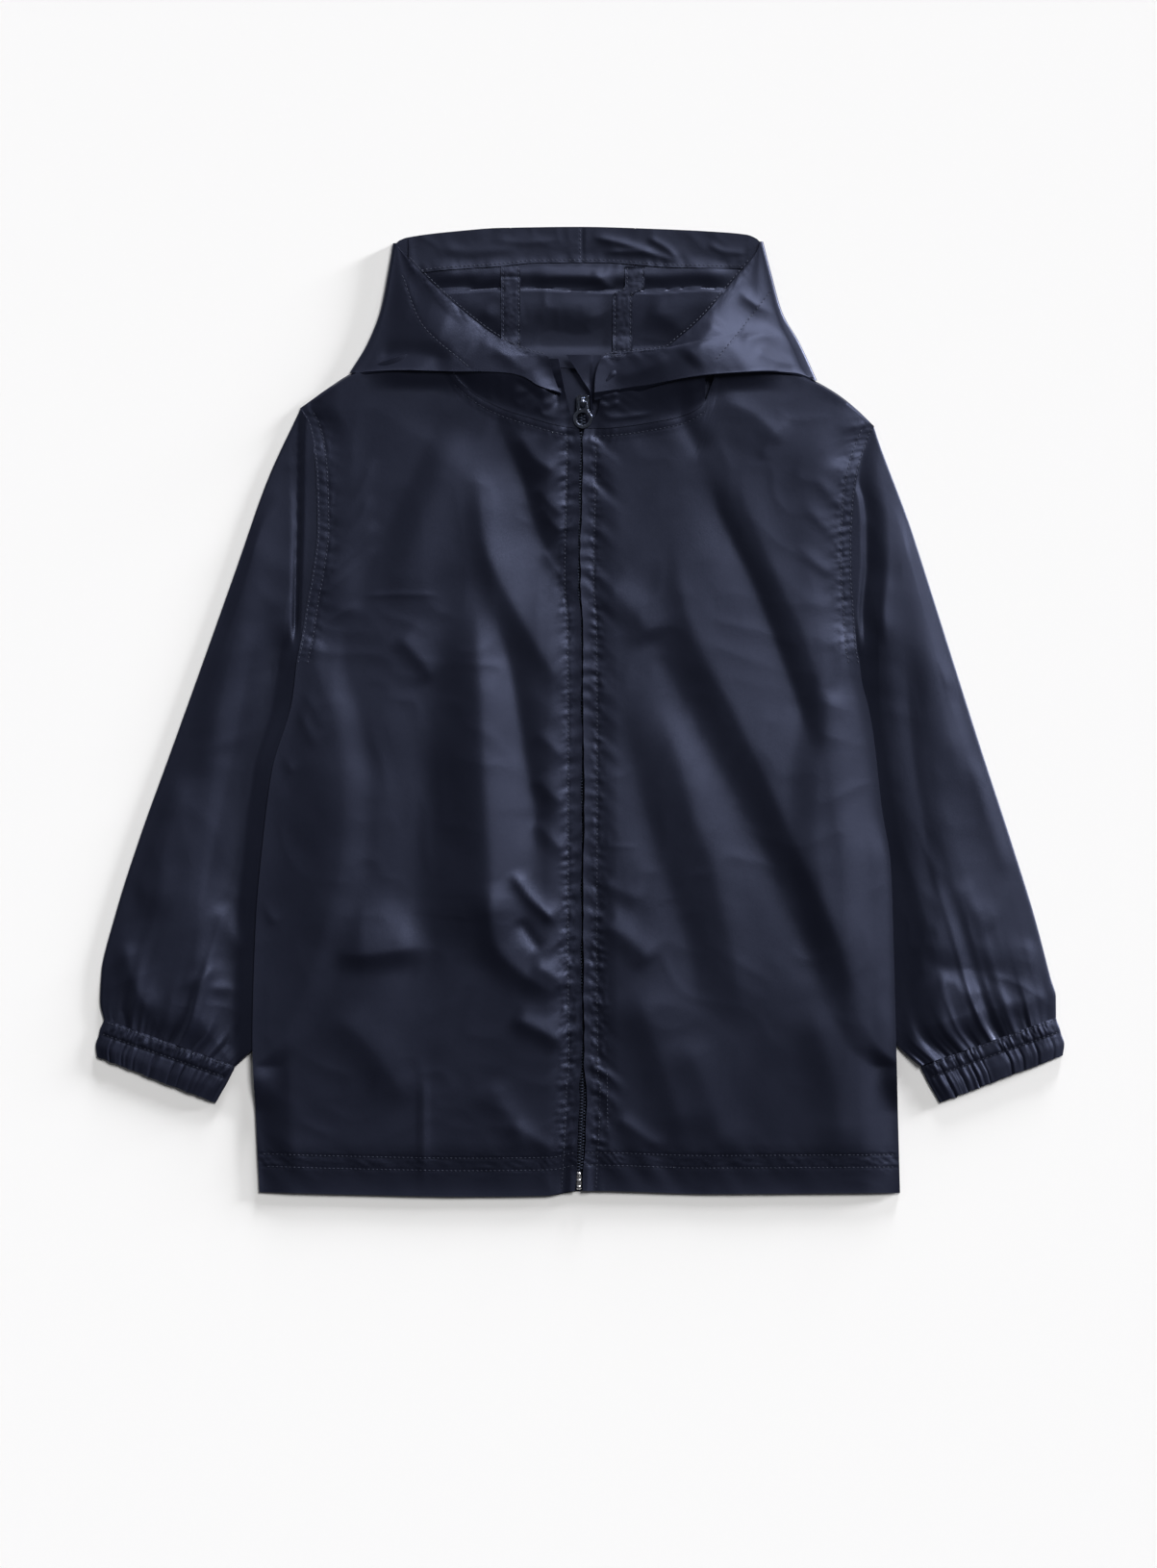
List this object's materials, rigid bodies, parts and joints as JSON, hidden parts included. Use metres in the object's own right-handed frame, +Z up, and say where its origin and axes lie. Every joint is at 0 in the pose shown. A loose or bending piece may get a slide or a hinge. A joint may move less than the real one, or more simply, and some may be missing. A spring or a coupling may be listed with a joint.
{
  "type": "kids raincoat",
  "caption": "Child's hooded nylon rain mac, zipped shut and laid out flat, with elasticated cuffs and a swinging zip pull.",
  "frame": {"origin": "on the surface that the coat lies on, under the middle of the laid-out coat", "axes": "+Z up off the surface, out of the coat's front; +Y from the hem to the hood; +X to the wearer's left"},
  "size_m": [0.645, 0.645, 0.0137],
  "materials": {
    "nylon": "thin navy nylon with a satin sheen, creased from packing",
    "nylon_inside": "coated inner face of the same nylon, darker and duller",
    "zip_tape": "woven black tape",
    "zip_teeth": "moulded black teeth",
    "zip_silver": "pressed bright metal",
    "zip_gunmetal": "black enamelled metal"
  },
  "bodies": {
    "coat": {"back": "nylon", "front_right": "nylon", "front_left": "nylon", "sleeve_right": "nylon", "sleeve_left": "nylon", "cuff_right": "nylon", "cuff_left": "nylon", "hood_side_right": "nylon", "hood_side_left": "nylon", "hood_neck_right": "nylon", "hood_neck_left": "nylon", "hood_middle": "nylon_inside", "hood_facing": "nylon_inside", "hood_fell_right": "nylon_inside", "hood_fell_left": "nylon_inside", "zip_tape_right": "zip_tape", "zip_tape_left": "zip_tape", "zip_chain": "zip_teeth", "zip_stop": "zip_silver", "zip_slider": "zip_gunmetal", "zip_guard": "nylon"},
    "pull": {"zip_pull": "zip_gunmetal"}
  },
  "joints": [
    {"name": "pull_swing", "type": "hinge", "parent": "coat", "child": "pull", "pos_m": [0.0019, 0.2056, 0.0065], "axis": [-1, 0, 0], "range_deg": [0, 125]}
  ]
}
